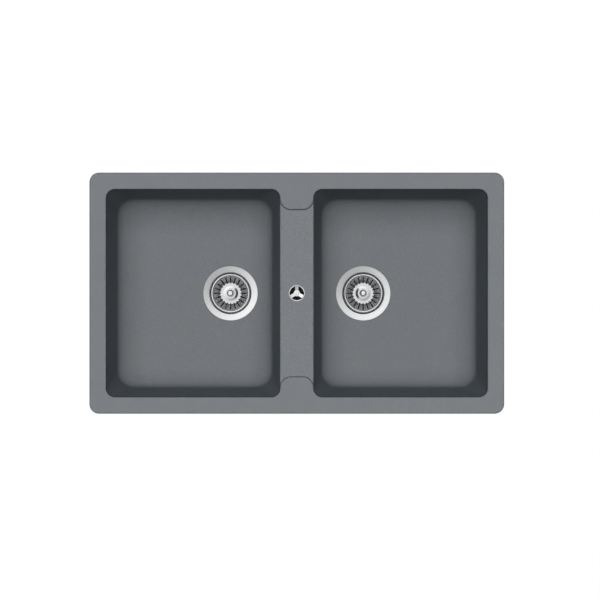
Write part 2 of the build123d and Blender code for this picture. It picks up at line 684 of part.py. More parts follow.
def tee_washer():
    """Tapered ring squeezed between pipe, tee and nut."""
    start = TEE_HALF
    end = start + WASHER_THICKNESS
    ring = lathe([
        (PIPE_R, start),
        (OUTLET_R, start),
        (OUTLET_R, end - OVERLAP),
        (COLLAR_R, end),
        (PIPE_R, end),
    ])
    return along_x(ring)


def tee_nut():
    lip_end = TEE_HALF + WASHER_THICKNESS + NUT_LIP
    nut = ribbed_nut(OUTLET_R + FIT_GAP, PIPE_R + FIT_GAP, -lip_end, -TEE_HALF + NUT_GRIP)
    return along_x(Rot(180, 0, 0) * nut)


# ---- overflow --------------------------------------------------------------------------------
def overflow_rosette():
    """Ring on the bridge with three arms that slope down to a screwed hub."""
    ring = lathe([
        (ROSETTE_R - ROSETTE_RING, DECK),
        (ROSETTE_R, DECK),
        (ROSETTE_R, DECK + ROSETTE_HEIGHT / 3),
        (ROSETTE_R - ROSETTE_RING / 3, DECK + ROSETTE_HEIGHT),
        (ROSETTE_R - 2 * ROSETTE_RING / 3, DECK + ROSETTE_HEIGHT),
        (ROSETTE_R - ROSETTE_RING, DECK + ROSETTE_HEIGHT / 3),
    ])
    hub_top = DECK - ROSETTE_HUB_DROP
    arm_start = ROSETTE_HUB_R / 2
    arm_end = ROSETTE_R - ROSETTE_RING / 2
    in_hole = sqrt((OVERFLOW_HOLE_R - FIT_GAP) ** 2 - (ROSETTE_SPOKE_WIDTH / 2) ** 2)
    arm = Polyline(
        (arm_start, hub_top),
        (ROSETTE_HUB_R, hub_top),
        (in_hole, DECK + ROSETTE_HEIGHT / 3),
        (arm_end, DECK + ROSETTE_HEIGHT / 3),
        (arm_end, DECK),
        (in_hole, DECK),
        (in_hole, DECK - ROSETTE_SHEET),
        (ROSETTE_HUB_R, hub_top - ROSETTE_SHEET),
        (arm_start, hub_top - ROSETTE_SHEET),
        close=True,
    )
    arm = extrude(Plane.XZ * make_face(arm), ROSETTE_SPOKE_WIDTH / 2, both=True)
    hub = disc(ROSETTE_HUB_R, hub_top - ROSETTE_SHEET, hub_top)
    rosette = ring + hub + [Rot(0, 0, 90) * turn * arm for turn in spread(ROSETTE_SPOKES)]
    return rosette - disc(OVERFLOW_SCREW_R + FIT_GAP, hub_top - 2 * ROSETTE_SHEET, hub_top + OVERLAP)


def overflow_screw():
    seat = DECK - ROSETTE_HUB_DROP
    head_top = seat + OVERFLOW_SCREW_HEAD_HEIGHT
    head = disc(OVERFLOW_SCREW_HEAD_R, seat, head_top)
    head = fillet(edges_at(head, head_top), OVERFLOW_SCREW_HEAD_HEIGHT / 2)
    width, depth = HEAD_SLOT
    slot = Box(OVERFLOW_SCREW_HEAD_R, width / 2, depth)
    slots = [Pos(0, 0, head_top) * Rot(0, 0, turn) * slot for turn in (0, 90)]
    return head - slots + disc(OVERFLOW_SCREW_R, seat - OVERFLOW_SCREW_LENGTH, seat)


def overflow_gasket():
    return tube(OVERFLOW_GASKET_R, OVERFLOW_HOLE_R + OVERLAP, CHAMBER_TOP, DECK_UNDERSIDE)


def overflow_chamber():
    """Plastic cup under the bridge with a screw boss on three arms and a hose spigot below."""
    inner_r = CHAMBER_R - CHAMBER_WALL
    cone_top = CHAMBER_TOP - CHAMBER_DEPTH
    shell = lathe([
        (inner_r, CHAMBER_TOP),
        (OVERFLOW_GASKET_R, CHAMBER_TOP),
        (OVERFLOW_GASKET_R, CHAMBER_TOP - CHAMBER_FLANGE_THICKNESS),
        (CHAMBER_R, CHAMBER_TOP - CHAMBER_FLANGE_THICKNESS),
        (CHAMBER_R, cone_top),
        (SPIGOT_R, CHAMBER_SPIGOT_TOP),
        (SPIGOT_R, CHAMBER_SPIGOT_END),
        (SPIGOT_BORE_R, CHAMBER_SPIGOT_END),
        (SPIGOT_BORE_R, CHAMBER_SPIGOT_TOP + CHAMBER_WALL),
        (inner_r, cone_top + CHAMBER_WALL),
    ])
    boss_top = CHAMBER_TOP - CHAMBER_BOSS_DROP
    boss = disc(CHAMBER_BOSS_R, boss_top - CHAMBER_BOSS_HEIGHT, boss_top)
    arm_length = inner_r + CHAMBER_WALL / 2
    arm = Box(arm_length, CHAMBER_WALL, CHAMBER_BOSS_HEIGHT)
    arm = Pos(arm_length / 2, 0, boss_top - CHAMBER_BOSS_HEIGHT / 2) * arm
    chamber = shell + boss + [Rot(0, 0, 90) * turn * arm for turn in spread(BODY_ARMS)]
    bore_bottom = boss_top - CHAMBER_BOSS_HEIGHT - OVERLAP
    return chamber - disc(OVERFLOW_SCREW_R + FIT_GAP / 2, bore_bottom, boss_top + OVERLAP)


def hose_ends():
    """Where the hose starts under the chamber and where it stops on the left spigot."""
    top = CHAMBER_SPIGOT_END + HOSE_OVERLAP
    end_x = -DRAIN_OFFSET + SPIGOT_END - HOSE_OVERLAP
    return top, end_x


def overflow_hose():
    top, end_x = hose_ends()
    points = [(0, 0, top), (0, 0, SPIGOT_Z), (end_x, 0, SPIGOT_Z)]
    inner_r = SPIGOT_R + FIT_GAP
    return bent_tube(points, HOSE_BEND_R, inner_r + HOSE_WALL, inner_r)


def hose_clip():
    """Band clip about Z with a screw housing on its side, its lower face at z = 0."""
    inner_r = SPIGOT_R + FIT_GAP + HOSE_WALL
    outer_r = inner_r + CLIP_THICKNESS
    length, width, height = CLIP_HOUSING
    housing = Pos(0, outer_r - OVERLAP / 2 + width / 2, CLIP_WIDTH / 2) * Box(length, width, height)
    return tube(outer_r, inner_r, 0, CLIP_WIDTH) + housing


def hose_clip_top():
    top, _ = hose_ends()
    return Pos(0, 0, top - CLIP_INSET - CLIP_WIDTH) * hose_clip()


def hose_clip_bottom():
    _, end_x = hose_ends()
    return Pos(end_x + CLIP_INSET, 0, SPIGOT_Z) * Rot(0, 90, 0) * hose_clip()


# ---- worktop clamps, drawn at the back: +Y points out, y = 0 is the cut-out's edge -----------
def clamp_places():
    """Three clamps at the back, three at the front and one at each end."""
    back = [Pos(x, CUTOUT_Y, 0) for x in (-CLAMP_X, 0, CLAMP_X)]
    front = [Rot(0, 0, 180) * place for place in back]
    ends = [Rot(0, 0, turn) * Pos(0, CUTOUT_X, 0) for turn in (-90, 90)]
    return back + front + ends


def clamp_bracket():
    """Channel of bent sheet: top flange under the rim, web, and bottom flange for the screw."""
    outer_y = -BRACKET_MARGIN
    web_y = outer_y - BRACKET_DEPTH
    path = FilletPolyline(
        (outer_y, BRACKET_TOP),
        (web_y, BRACKET_TOP),
        (web_y, BRACKET_BOTTOM),
        (outer_y, BRACKET_BOTTOM),
        radius=BRACKET_BEND_R,
    )
    section = make_face(offset(path, amount=CLAMP_SHEET, side=Side.LEFT).edges())
    bracket = extrude(Plane.YZ * section, BRACKET_WIDTH / 2, both=True)
    hole = disc(FIXING_R + FIT_GAP, BRACKET_TOP - 2 * CLAMP_SHEET, BRACKET_TOP + OVERLAP)
    holes = [Pos(x, -CLAMP_SCREW_INSET, 0) * hole for x in (-FIXING_OFFSET, FIXING_OFFSET)]
    screw_hole_top = BRACKET_BOTTOM + 2 * CLAMP_SHEET
    screw_hole = disc(CLAMP_SCREW_R + FIT_GAP, BRACKET_BOTTOM - OVERLAP, screw_hole_top)
    return bracket - holes - Pos(0, -CLAMP_SCREW_INSET, 0) * screw_hole


def fixing_screw():
    head_top = BRACKET_TOP - CLAMP_SHEET
    head_bottom = head_top - FIXING_HEAD_HEIGHT
    head = disc(FIXING_HEAD_R, head_bottom, head_top)
    head = fillet(edges_at(head, head_bottom), FIXING_HEAD_HEIGHT / 2)
    width, depth = HEAD_SLOT
    slot = Box(FIXING_HEAD_R, width / 2, depth)
    slots = [Pos(0, 0, head_bottom) * Rot(0, 0, turn) * slot for turn in (0, 90)]
    return head - slots + disc(FIXING_R, head_top, RELIEF_DEPTH + FIXING_DEPTH)


def fixing_screws():
    screw = fixing_screw()
    pair = [Pos(x, -CLAMP_SCREW_INSET, 0) * screw for x in (-FIXING_OFFSET, FIXING_OFFSET)]
    return [place * screw for place in clamp_places() for screw in pair]


def clamp_screw():
    """Upright screw through the bottom flange's thread; it lifts the claw on its tip."""
    boss_bottom = CLAW_BOSS_BOTTOM - TURN_GAP
    washer_bottom = CLAMP_HEAD_TOP - CLAMP_WASHER_HEIGHT
    head_bottom = washer_bottom - CLAMP_HEAD_HEIGHT
    screw = disc(CLAMP_SCREW_R, washer_bottom, boss_bottom)
    screw += disc(CLAMP_TIP_R, boss_bottom, boss_bottom + CLAMP_TIP_LENGTH)
    screw = chamfer(edges_at(screw, boss_bottom + CLAMP_TIP_LENGTH), CLAMP_TIP_R / 4)
    screw += disc(CLAMP_WASHER_R, washer_bottom, CLAMP_HEAD_TOP)
    head = hexagon(CLAMP_HEAD_FLATS, head_bottom, washer_bottom)
    width, depth = HEAD_SLOT
    slot = Pos(0, 0, head_bottom) * Box(2 * CLAMP_HEAD_FLATS, width, depth)
    return Pos(0, -CLAMP_SCREW_INSET, 0) * (screw + head - slot)


def clamp_claw():
    """Plate that the screw pushes up; its toothed lip grips the worktop from below."""
    web_face = -BRACKET_MARGIN - BRACKET_DEPTH + CLAMP_SHEET
    back_y = web_face + SLIDE_GAP
    plate_bottom = CLAW_PLATE_TOP - CLAW_PLATE
    plate = Polyline(
        (back_y, plate_bottom),
        (CLAW_GRIP, plate_bottom),
        (CLAW_GRIP, CLAW_TOP),
        (CLAW_GRIP - CLAW_LIP, CLAW_TOP),
        (CLAW_GRIP - CLAW_LIP, CLAW_PLATE_TOP),
        (back_y, CLAW_PLATE_TOP),
        close=True,
    )
    claw = extrude(Plane.YZ * make_face(plate), CLAW_WIDTH / 2, both=True)
    pitch = CLAW_WIDTH / CLAW_TEETH
    tooth = Polyline(
        (-pitch / 3, OVERLAP),
        (pitch / 3, OVERLAP),
        (0, -CLAW_LIP_HEIGHT / 2),
        close=True,
    )
    notch = extrude(Plane.XZ * make_face(tooth), CLAW_LIP + OVERLAP, both=True)
    notches = [
        Pos((step + 0.5) * pitch - CLAW_WIDTH / 2, CLAW_GRIP, CLAW_TOP) * notch
        for step in range(CLAW_TEETH)
    ]
    axis = Pos(0, -CLAMP_SCREW_INSET, 0)
    socket_top = CLAW_BOSS_BOTTOM + CLAMP_TIP_LENGTH
    claw = claw - notches + axis * disc(CLAW_BOSS_R, CLAW_BOSS_BOTTOM, plate_bottom + OVERLAP)
    return claw - axis * disc(CLAMP_TIP_R + FIT_GAP, CLAW_BOSS_BOTTOM - OVERLAP, socket_top)


# ---- the assembly ----------------------------------------------------------------------------
def waste_pieces():
    return {
        "waste_flange": waste_flange(),
        "flange_seal": flange_seal(),
        "lower_gasket": lower_gasket(),
        "waste_body": waste_body(),
        "centre_screw": centre_screw(),
        "basket": basket(),
        "basket_knob": basket_knob(),
        "basket_plug": basket_plug(),
        "basket_nut": basket_nut(),
        "union_nut": union_nut(),
        "outlet_washer": outlet_washer(),
        "elbow": elbow(),
    }


def assembly():
    """Every piece in its place, by name. The right-hand waste is the left one turned about Z."""
    pieces = {"sink_body": sink_body(), "rim_seal": seal_ring()}
    for name, piece in waste_pieces().items():
        left = Pos(-DRAIN_OFFSET, 0, 0) * piece
        pieces["left_" + name] = left
        pieces["right_" + name] = Rot(0, 0, 180) * left
    pieces["spigot_cap"] = Rot(0, 0, 180) * Pos(-DRAIN_OFFSET, 0, 0) * spigot_cap()
    pieces["tee"] = tee()
    for side, turn in (("right", 0), ("left", 180)):
        pieces[side + "_tee_washer"] = Rot(0, 0, turn) * tee_washer()
        pieces[side + "_tee_nut"] = Rot(0, 0, turn) * tee_nut()
    pieces["overflow_rosette"] = overflow_rosette()
    pieces["overflow_screw"] = overflow_screw()
    pieces["overflow_gasket"] = overflow_gasket()
    pieces["overflow_chamber"] = overflow_chamber()
    pieces["overflow_hose"] = overflow_hose()
    pieces["hose_clip_top"] = hose_clip_top()
    pieces["hose_clip_bottom"] = hose_clip_bottom()
    places = clamp_places()
    bracket, screw, claw = clamp_bracket(), clamp_screw(), clamp_claw()
    pieces["clamp_brackets"] = join([place * bracket for place in places])
    pieces["bracket_screws"] = join(fixing_screws())
    for number, place in enumerate(places, start=1):
        pieces[f"clamp_screw_{number}"] = place * screw
        pieces[f"clamp_claw_{number}"] = place * claw
    return pieces


os.makedirs("parts", exist_ok=True)
for node, piece in assembly().items():
    export_step(piece, f"parts/{node}.step")
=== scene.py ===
"""Double bowl granite composite kitchen sink, with its basket wastes, overflow, pipework and clamps."""

import math

import bpy
import numpy as np
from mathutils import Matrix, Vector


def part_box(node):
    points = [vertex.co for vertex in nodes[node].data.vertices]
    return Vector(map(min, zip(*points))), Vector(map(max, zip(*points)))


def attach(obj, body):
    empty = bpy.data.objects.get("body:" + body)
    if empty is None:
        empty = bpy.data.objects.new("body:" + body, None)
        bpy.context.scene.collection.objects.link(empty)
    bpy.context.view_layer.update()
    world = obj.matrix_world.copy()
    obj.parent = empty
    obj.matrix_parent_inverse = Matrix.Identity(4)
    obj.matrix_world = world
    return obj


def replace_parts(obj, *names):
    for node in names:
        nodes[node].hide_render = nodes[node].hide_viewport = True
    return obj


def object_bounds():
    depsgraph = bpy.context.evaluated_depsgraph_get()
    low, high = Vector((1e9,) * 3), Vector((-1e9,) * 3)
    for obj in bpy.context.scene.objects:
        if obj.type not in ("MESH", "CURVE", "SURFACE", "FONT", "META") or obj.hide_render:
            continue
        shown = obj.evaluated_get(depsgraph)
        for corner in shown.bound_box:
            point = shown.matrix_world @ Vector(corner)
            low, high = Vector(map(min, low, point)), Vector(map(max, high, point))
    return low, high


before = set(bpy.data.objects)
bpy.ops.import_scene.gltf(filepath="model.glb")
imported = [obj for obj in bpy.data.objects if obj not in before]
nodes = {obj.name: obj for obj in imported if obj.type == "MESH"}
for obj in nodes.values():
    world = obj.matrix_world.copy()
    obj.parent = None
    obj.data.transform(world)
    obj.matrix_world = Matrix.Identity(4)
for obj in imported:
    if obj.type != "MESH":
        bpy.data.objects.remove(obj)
cad_box = [list(corner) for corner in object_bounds()]


# ---- Sink body -------------------------------------------------------------------------------
# The real piece is one casting of granite composite: fine quartz sand bound in tinted acrylic
# resin. It is cast face down in a matt mould, so every visible face is dense, silky stone with
# a faint even speckle, and the underside, which the resin side of the mould gives, is smoother.
class Shade:
    """A value in a material. Arithmetic on it adds the Math node for it; add() makes any other node."""

    def __init__(self, tree, socket=None):
        self.tree = tree
        self.socket = socket

    def add(self, kind, settings, sockets, output=0):
        node = self.tree.nodes.new("ShaderNode" + kind)
        for setting, value in settings.items():
            setattr(node, setting, value)
        for name, value in sockets.items():
            if isinstance(value, Shade):
                self.tree.links.new(value.socket, node.inputs[name])
            else:
                node.inputs[name].default_value = value
        return Shade(self.tree, node.outputs[output])

    def maths(self, operation, *values):
        return self.add("Math", {"operation": operation}, dict(enumerate(values)))

    def __add__(self, other):
        return self.maths("ADD", self, other)

    def __sub__(self, other):
        return self.maths("SUBTRACT", self, other)

    def __rsub__(self, other):
        return self.maths("SUBTRACT", other, self)

    def __mul__(self, other):
        return self.maths("MULTIPLY", self, other)

    __radd__ = __add__
    __rmul__ = __mul__


def new_finish(name, **constants):
    """A material with its principled shader, and its Object coordinates as the first value."""
    material = bpy.data.materials.new(name)
    material.use_nodes = True
    surface = material.node_tree.nodes["Principled BSDF"]
    for socket, value in constants.items():
        surface.inputs[socket.replace("_", " ")].default_value = value
    place = Shade(material.node_tree).add("TexCoord", {}, {}, "Object")
    return material, surface, place


def feed(surface, socket, value):
    """Link the value to a socket of the principled shader."""
    value.tree.links.new(value.socket, surface.inputs[socket])


def about(place, x, y=0.0):
    """The place seen from an upright axis at x, y."""
    return place.add("Mapping", {}, {"Vector": place, "Location": (-x, -y, 0.0)})


def grain(place, scale, detail=2.0, roughness=0.5):
    """Cloudy noise, scale in clouds per metre."""
    return place.add(
        "TexNoise", {}, {"Vector": place, "Scale": scale, "Detail": detail, "Roughness": roughness}
    )


def blend_colours(share, first, second):
    """The colour that goes from the first to the second with share."""
    return share.add("Mix", {"data_type": "RGBA"}, {0: share, 6: first, 7: second}, 2)


def ease(value, low, high):
    """0 below low, 1 above high and a smooth step between."""
    return value.add(
        "MapRange",
        {"interpolation_type": "SMOOTHSTEP"},
        {"Value": value, "From Min": low, "From Max": high},
    )


def emboss(surface, height, depth):
    """Bump from a height of 0 to 1 that stands for depth in metres."""
    bump = height.add("Bump", {}, {"Height": height, "Strength": 1.0, "Distance": depth})
    feed(surface, "Normal", bump)


def wear(material, *names):
    """These CAD nodes take the material."""
    for name in names:
        mesh = nodes[name].data
        mesh.materials.clear()
        mesh.materials.append(material)


STONE = (0.207, 0.216, 0.229, 1.0)
STONE_COOL = (0.197, 0.208, 0.224, 1.0)
STONE_PALE = (0.42, 0.43, 0.44, 1.0)
STONE_DARK = (0.075, 0.081, 0.088, 1.0)
# Painted shade colour, laid on the upright faces and the edges.
STONE_PAINTED_SHADE = (0.055, 0.094, 0.114, 1.0)
# The painted shade on the edges begins above this height.
STEP_FOOT = -0.01
# The painted shade on the bowl floors is full at the first of these heights and gone at the second.
BOWL_FLOOR = -0.185
FLOOR_SHADE_TOP = -0.08

stone, stone_surface, place = new_finish("granite composite", Roughness=0.6, Specular_IOR_Level=0.01)
sand = grain(place, 1500.0, 3.0, 0.65)
pale_flecks = ease(grain(place, 1300.0, 1.0), 0.6, 0.7)
dark_flecks = ease(grain(about(place, 0.7, 0.4), 1050.0, 1.0), 0.6, 0.7)
drift = grain(place, 26.0, 3.0)
colour = blend_colours(ease(drift, 0.3, 0.7), STONE, STONE_COOL)
colour = blend_colours(pale_flecks * 0.65, colour, STONE_PALE)
colour = blend_colours(dark_flecks * 0.65, colour, STONE_DARK)
# Painted shade: the upright faces are painted darker, most of all at the rim's edge and the step of
# the bridge, and the floors deep in the bowls are painted darker too.
facing = place.add("TexCoord", {}, {}, "Normal")
facing_up = facing.add("SeparateXYZ", {}, {"Vector": facing}, 2)
upright = 1.0 - ease(facing_up, 0.1, 1.0)
height = place.add("SeparateXYZ", {}, {"Vector": place}, 2)
# Painted shade on the rounded edges of the rim and of the bridge's step.
edge = (1.0 - ease(facing_up, 0.4, 1.0)) * ease(height, STEP_FOOT, 0.0)
# Painted shade on the level faces deep in the bowls.
floor_shade = (1.0 - ease(height, BOWL_FLOOR, FLOOR_SHADE_TOP)) * (1.0 - upright)
colour = blend_colours(floor_shade * 0.25, colour, STONE_DARK)
# Painted shade laid on the upright faces and the edges.
colour = blend_colours(upright * 0.34 + edge * 0.5, colour, STONE_PAINTED_SHADE)
feed(stone_surface, "Base Color", colour)
feed(stone_surface, "Roughness", 0.54 + sand * 0.14)
emboss(stone_surface, sand, 0.00008)
wear(stone, "sink_body")


# ---- Rim seal --------------------------------------------------------------------------------
# Closed-cell foam strip, let into a groove under the rim. It is cut from a roll, glued in and
# squeezed flat when the clamps pull the rim down on the worktop.
FOAM_PORE = (0.02, 0.021, 0.023, 1.0)
FOAM_WALL = (0.09, 0.092, 0.096, 1.0)
foam, foam_surface, place = new_finish("grey seal foam", Roughness=0.92)
cells = place.add("TexVoronoi", {}, {"Vector": place, "Scale": 1400.0})
feed(foam_surface, "Base Color", blend_colours(cells, FOAM_PORE, FOAM_WALL))
emboss(foam_surface, cells, 0.0002)
wear(foam, "rim_seal")


# ---- Basket wastes: pressed steel ------------------------------------------------------------
# Stainless steel. The flange and cup are one deep-drawn sheet, turned on a lathe so that fine
# rings run round the drain; the basket is pressed, slotted, and rolled over at its rim.
WASTE_X = 0.1403
STEEL = (0.71, 0.715, 0.72, 1.0)
STEEL_DEEP = (0.58, 0.585, 0.59, 1.0)


def turning_rings(place, per_metre):
    """Noise that changes quickly with the distance from the axis and hardly round it."""
    across = place.add("VectorMath", {"operation": "MULTIPLY"}, {0: place, 1: (1.0, 1.0, 0.0)})
    radius = across.add("VectorMath", {"operation": "LENGTH"}, {0: across}, 1)
    height = place.add("SeparateXYZ", {}, {"Vector": place}, 2)
    line = radius.add("CombineXYZ", {}, {"X": radius * per_metre, "Y": height * per_metre, "Z": 0.0})
    return line.add("TexNoise", {}, {"Vector": line, "Scale": 1.0, "Detail": 3.0, "Roughness": 0.7})


for side, x in (("left", -WASTE_X), ("right", WASTE_X)):
    steel, steel_surface, place = new_finish(side + " turned steel", Metallic=1.0, Roughness=0.24)
    rings = turning_rings(about(place, x), 2600.0)
    feed(steel_surface, "Base Color", blend_colours(ease(rings, 0.3, 0.7), STEEL, STEEL_DEEP))
    feed(steel_surface, "Roughness", 0.2 + rings * 0.18)
    emboss(steel_surface, rings, 0.00004)
    wear(steel, side + "_waste_flange")
    steel, steel_surface, place = new_finish(side + " pressed steel", Metallic=1.0, Roughness=0.2)
    rings = turning_rings(about(place, x), 1500.0)
    feed(steel_surface, "Base Color", blend_colours(ease(rings, 0.3, 0.7), STEEL, STEEL_DEEP))
    feed(steel_surface, "Roughness", 0.14 + rings * 0.12)
    emboss(steel_surface, rings, 0.00002)
    wear(steel, side + "_basket")


# ---- Basket wastes: knobs, and the overflow rosette ------------------------------------------
# Turned brass knobs and the pressed rosette, polished and chrome plated; the screws that hold
# the cups and the rosette are polished stainless steel.
CHROME = (0.78, 0.785, 0.79, 1.0)
CHROME_HAZE = (0.7, 0.705, 0.715, 1.0)
chrome, chrome_surface, place = new_finish("chrome", Metallic=1.0, Roughness=0.06)
haze = grain(place, 700.0, 3.0)
feed(chrome_surface, "Base Color", blend_colours(haze, CHROME, CHROME_HAZE))
feed(chrome_surface, "Roughness", 0.04 + haze * 0.06)
wear(chrome, "left_basket_knob", "right_basket_knob", "overflow_rosette")
wear(chrome, "overflow_screw", "left_centre_screw", "right_centre_screw")


# ---- Basket wastes: rubber -------------------------------------------------------------------
# Moulded black rubber: the plug under each basket, the seal under each flange, the gaskets
# against the sink, and the washers in the pipe joints.
RUBBER = (0.012, 0.012, 0.013, 1.0)
RUBBER_DUSTY = (0.03, 0.03, 0.032, 1.0)
rubber, rubber_surface, place = new_finish("black rubber", Roughness=0.62)
skin = grain(place, 900.0, 3.0)
feed(rubber_surface, "Base Color", blend_colours(skin, RUBBER, RUBBER_DUSTY))
feed(rubber_surface, "Roughness", 0.5 + skin * 0.2)
emboss(rubber_surface, skin, 0.00005)
for side in ("left", "right"):
    wear(rubber, side + "_basket_plug", side + "_flange_seal", side + "_lower_gasket")
    wear(rubber, side + "_outlet_washer", side + "_tee_washer")
wear(rubber, "overflow_gasket")


# ---- Wastes and pipework ---------------------------------------------------------------------
# White polypropylene, injection moulded, with the faint sparkle of an eroded mould.
POLYPROPYLENE = (0.72, 0.72, 0.70, 1.0)
POLYPROPYLENE_FLOW = (0.66, 0.665, 0.65, 1.0)
plastic, plastic_surface, place = new_finish("white polypropylene", Roughness=0.4, IOR=1.49)
flow = grain(place, 45.0, 2.0)
spark = grain(place, 2200.0, 2.0)
feed(plastic_surface, "Base Color", blend_colours(flow, POLYPROPYLENE, POLYPROPYLENE_FLOW))
feed(plastic_surface, "Roughness", 0.34 + spark * 0.14)
emboss(plastic_surface, spark, 0.00003)
for side in ("left", "right"):
    wear(plastic, side + "_waste_body", side + "_union_nut", side + "_elbow", side + "_tee_nut")
wear(plastic, "spigot_cap")


# ---- Threaded outlets ------------------------------------------------------------------------
# The necks of both wastes and of the tee carry a moulded 1 1/2 inch pipe thread, eleven turns
# to the inch with rounded crests, that the nuts grip. The tee's stays open for the trap.
PIPE_PITCH = 0.002309
PIPE_THREAD_R = 0.0239
PIPE_THREAD_DEPTH = 0.0014
WASTE_NECK_LOW = -0.2665
WASTE_NECK_HIGH = -0.2445
TEE_NECK_LOW = -0.3695
TEE_NECK_HIGH = -0.3395
THREAD_ROWS_PER_TURN = 10
SAME_RADIUS = 4e-5
SAME_HEIGHT = 3e-5


def with_thread(name, body, finish, axis, radius, low, high, pitch, depth):
    """A copy of a CAD node whose plain neck between two heights carries a thread.

    One parameter runs round the axis and the other up it. The distance from the axis is the
    neck's radius less depth times half of one minus the cosine of the phase. The phase makes one
    turn per pitch up the axis and loses one per turn round it, and depth fades out at both ends.
    """
    mesh = nodes[name].data
    points = np.empty(len(mesh.vertices) * 3)
    mesh.vertices.foreach_get("co", points)
    corners = np.empty(len(mesh.polygons) * 3, dtype=int)
    mesh.polygons.foreach_get("vertices", corners)
    micrometres = np.round(points.reshape(-1, 3) * 1e6)
    first, merged = np.unique(micrometres, axis=0, return_index=True, return_inverse=True)[1:]
    points = points.reshape(-1, 3)[first]
    faces = merged.reshape(-1)[corners].reshape(-1, 3)
    across = points[:, :2] - axis
    on_neck = np.abs(np.hypot(across[:, 0], across[:, 1]) - radius) < SAME_RADIUS
    at_low = on_neck & (np.abs(points[:, 2] - low) < SAME_HEIGHT)
    at_high = on_neck & (np.abs(points[:, 2] - high) < SAME_HEIGHT)
    plain = (at_low | at_high)[faces].all(axis=1) & at_low[faces].any(axis=1) & at_high[faces].any(axis=1)
    bearing = np.arctan2(across[:, 1], across[:, 0])
    low_loop = np.flatnonzero(at_low)
    low_loop = low_loop[np.argsort(bearing[low_loop])]
    high_loop = np.flatnonzero(at_high)
    high_loop = high_loop[np.argsort(bearing[high_loop])]
    turn = bearing[low_loop]
    height = np.linspace(low, high, int((high - low) / pitch * THREAD_ROWS_PER_TURN))[1:-1]
    turn_grid, height_grid = np.meshgrid(turn, height)
    phase = 2 * math.pi * height_grid / pitch - turn_grid
    fade = np.clip(np.minimum(height_grid - low, high - height_grid) / pitch, 0, 1)
    reach = radius - depth * fade * (1 - np.cos(phase)) / 2
    x = axis[0] + reach * np.cos(turn_grid)
    y = axis[1] + reach * np.sin(turn_grid)
    skin = np.stack([x, y, height_grid], axis=-1)
    inner_rows = len(points) + np.arange(skin.shape[0] * skin.shape[1]).reshape(skin.shape[:2])
    rows = np.vstack([low_loop, inner_rows, high_loop])
    right = np.roll(rows, -1, axis=1)
    quads = np.stack([rows[:-1], right[:-1], right[1:], rows[1:]], axis=-1).reshape(-1, 4)
    made = bpy.data.meshes.new(name + " threaded")
    made.from_pydata(
        np.vstack([points, skin.reshape(-1, 3)]).tolist(), [], faces[~plain].tolist() + quads.tolist()
    )
    made.shade_smooth()
    made.set_sharp_from_angle(angle=math.radians(35))
    made.materials.append(finish)
    piece = bpy.data.objects.new(name + "_threaded", made)
    bpy.context.scene.collection.objects.link(piece)
    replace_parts(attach(piece, body), name)
    return piece


for side, x in (("left", -WASTE_X), ("right", WASTE_X)):
    with_thread(
        side + "_waste_body", "sink", plastic, (x, 0.0), PIPE_THREAD_R,
        WASTE_NECK_LOW, WASTE_NECK_HIGH, PIPE_PITCH, PIPE_THREAD_DEPTH,
    )
with_thread(
    "tee", "sink", plastic, (0.0, 0.0), PIPE_THREAD_R,
    TEE_NECK_LOW, TEE_NECK_HIGH, PIPE_PITCH, PIPE_THREAD_DEPTH,
)


# ---- Overflow hose ---------------------------------------------------------------------------
# Corrugated polypropylene hose from the overflow chamber down to the left waste. It is blown
# in one piece with smooth cuffs, which are pushed over the spigots and clipped.
HOSE_TOP = -0.0475
HOSE_END_X = -0.0858
HOSE_AXIS_Z = -0.2175
HOSE_BEND = 0.046
HOSE_BORE = 0.0101
HOSE_CUFF_R = 0.0125
HOSE_CUFF = 0.0175
HOSE_RIB_PITCH = 0.005
HOSE_RIB_DEPTH = 0.0017
HOSE_OUTER_RINGS = 480
HOSE_BORE_RINGS = 60
HOSE_POINTS_ROUND = 48


def hose_skin(along):
    """Outer radius of the hose: the cuff's radius at both ends and a cosine wave in between."""
    inside = np.clip(np.minimum(along, along[-1] - along) - HOSE_CUFF, 0, None)
    wave = (1 - np.cos(2 * math.pi * inside / HOSE_RIB_PITCH)) / 2
    return HOSE_CUFF_R - HOSE_RIB_DEPTH * wave


def hose_line(along):
    """Middle of the hose and the way square to it in the bend's plane: down, a quarter turn, left."""
    drop = HOSE_TOP - HOSE_AXIS_Z - HOSE_BEND
    turned = np.clip((along - drop) / HOSE_BEND, 0, math.pi / 2)
    straight = np.clip(along - drop - HOSE_BEND * math.pi / 2, 0, None)
    x = -HOSE_BEND * (1 - np.cos(turned)) - straight
    z = HOSE_TOP - np.minimum(along, drop) - HOSE_BEND * np.sin(turned)
    return np.stack([x, 0 * x, z], axis=-1), np.stack([np.cos(turned), 0 * x, -np.sin(turned)], axis=-1)


hose_length = (
    HOSE_TOP - HOSE_AXIS_Z - HOSE_BEND + HOSE_BEND * math.pi / 2 - HOSE_END_X - HOSE_BEND
)
along = np.linspace(0, hose_length, HOSE_OUTER_RINGS)
reach = np.concatenate([hose_skin(along), [HOSE_BORE] * HOSE_BORE_RINGS])
line, square = hose_line(np.concatenate([along, np.linspace(hose_length, 0, HOSE_BORE_RINGS)]))
turn = np.linspace(0, 2 * math.pi, HOSE_POINTS_ROUND, endpoint=False)
sideways = np.array([0.0, 1.0, 0.0])
ring = square[:, None] * np.cos(turn)[None, :, None] + sideways * np.sin(turn)[None, :, None]
skin = line[:, None] + reach[:, None, None] * ring
rows = np.arange(len(line) * len(turn)).reshape(len(line), len(turn))
below = np.roll(rows, -1, axis=0)
quads = np.stack([rows, below, np.roll(below, -1, axis=1), np.roll(rows, -1, axis=1)], axis=-1)
hose_mesh = bpy.data.meshes.new("corrugated hose")
hose_mesh.from_pydata(skin.reshape(-1, 3).tolist(), [], quads.reshape(-1, 4).tolist())
hose_mesh.shade_smooth()
